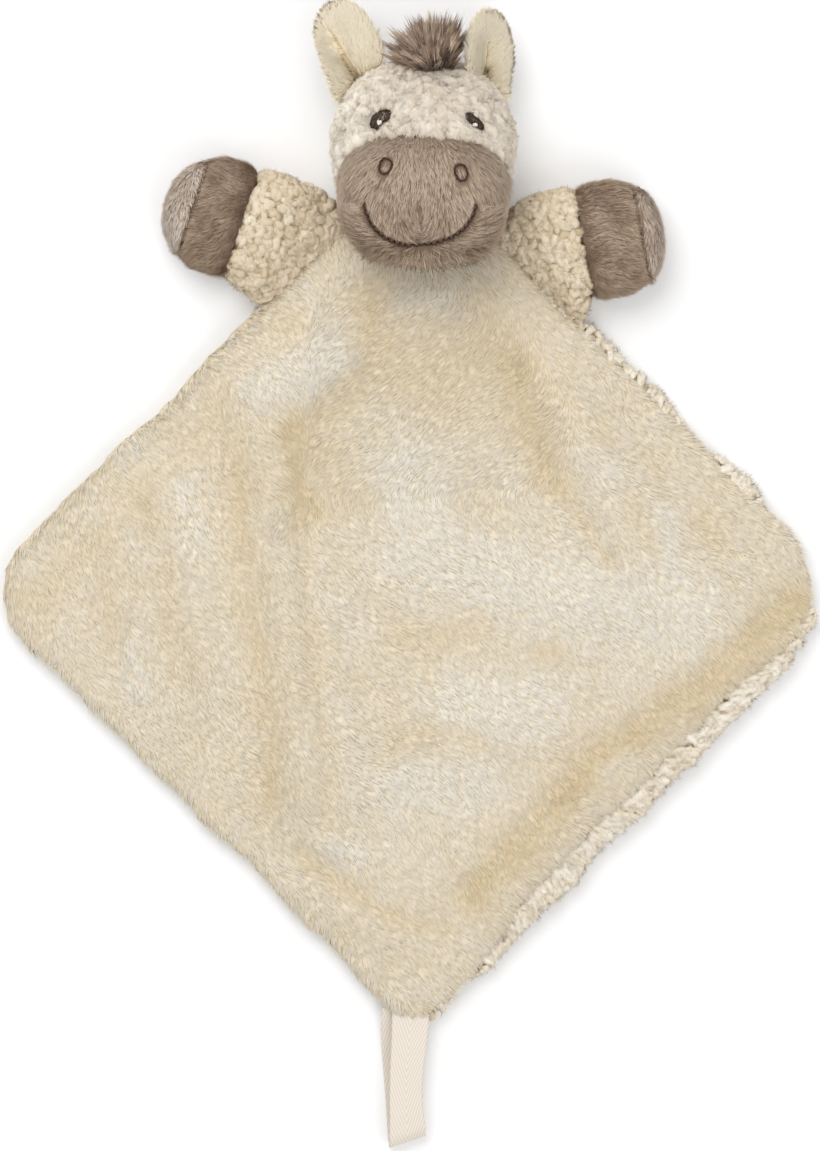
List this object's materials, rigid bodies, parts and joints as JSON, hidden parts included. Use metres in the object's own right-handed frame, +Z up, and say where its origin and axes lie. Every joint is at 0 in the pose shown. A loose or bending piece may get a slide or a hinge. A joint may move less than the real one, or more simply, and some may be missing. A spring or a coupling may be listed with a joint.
{
  "type": "comfort blanket",
  "caption": "Soft comforter: a square two-sided plush and fleece blanket with a stuffed horse head, two stuffed arms and a tape loop at its corners.",
  "frame": {"origin": "middle of the blanket square, on the surface that the blanket lies on", "axes": "+Z up out of the surface through the plush side, +Y from the tape loop to the head, +X to the right when the face is seen"},
  "size_m": [0.3267, 0.4616, 0.0562],
  "materials": {
    "plush_cream": "short-pile plush, cream with warmer tan where the pile lies away",
    "sherpa_cream": "curly sherpa fleece, cream",
    "sherpa_pale": "curly sherpa fleece, pale cream",
    "plush_taupe": "combed plush, taupe brown",
    "plush_sole": "combed plush, lighter taupe",
    "ear_plush": "short-pile plush, warm cream",
    "long_pile_taupe": "long straight pile, dark taupe",
    "cotton_tape": "herringbone cotton tape, natural",
    "thread_dark": "embroidery thread, dark brown, slight sheen",
    "thread_white": "embroidery thread, off-white, slight sheen",
    "fibre_fill": "loose polyester fibre, matt white"
  },
  "bodies": {
    "blanket": {"blanket_front": "plush_cream", "blanket_back": "sherpa_cream"},
    "head": {"head_cover_front": "sherpa_pale", "head_cover_back": "sherpa_pale", "muzzle_cover": "plush_taupe", "head_stuffing": "fibre_fill", "eye_left": "thread_dark", "eye_right": "thread_dark", "eye_glint_left": "thread_white", "eye_glint_right": "thread_white", "nostril_left": "thread_dark", "nostril_right": "thread_dark", "smile_stitch": "thread_dark", "forelock": "long_pile_taupe"},
    "ear_left": {"ear_front_left": "ear_plush", "ear_back_left": "plush_taupe"},
    "ear_right": {"ear_front_right": "ear_plush", "ear_back_right": "plush_taupe"},
    "arm_left": {"sleeve_left": "sherpa_cream", "hoof_left": "plush_taupe", "hoof_sole_left": "plush_sole", "arm_stuffing_left": "fibre_fill"},
    "arm_right": {"sleeve_right": "sherpa_cream", "hoof_right": "plush_taupe", "hoof_sole_right": "plush_sole", "arm_stuffing_right": "fibre_fill"},
    "loop": {"hanger_loop": "cotton_tape"}
  },
  "joints": [
    {"name": "head_nod", "type": "hinge", "parent": "blanket", "child": "head", "pos_m": [0.003, 0.15218, 0.0055], "axis": [1, 0, 0], "range_deg": [-25, 20]},
    {"name": "ear_left_fold", "type": "hinge", "parent": "head", "child": "ear_left", "pos_m": [-0.02141, 0.2022, 0.0225], "axis": [0.7537, 0.6572, 0], "range_deg": [-12, 12]},
    {"name": "ear_right_fold", "type": "hinge", "parent": "head", "child": "ear_right", "pos_m": [0.02752, 0.19946, 0.0225], "axis": [0.5836, -0.5304, -0.6149], "range_deg": [-12, 12]},
    {"name": "arm_left_lift", "type": "hinge", "parent": "blanket", "child": "arm_left", "pos_m": [-0.04269, 0.13607, 0.0055], "axis": [0.7071, 0.7071, 0], "range_deg": [-25, 45]},
    {"name": "arm_right_lift", "type": "hinge", "parent": "blanket", "child": "arm_right", "pos_m": [0.04799, 0.13077, 0.0055], "axis": [0.7071, -0.7071, 0], "range_deg": [-25, 45]},
    {"name": "loop_swing", "type": "hinge", "parent": "blanket", "child": "loop", "pos_m": [-0.0026, -0.17073, 0.0055], "axis": [-1, 0, 0], "range_deg": [-50, 70]}
  ]
}
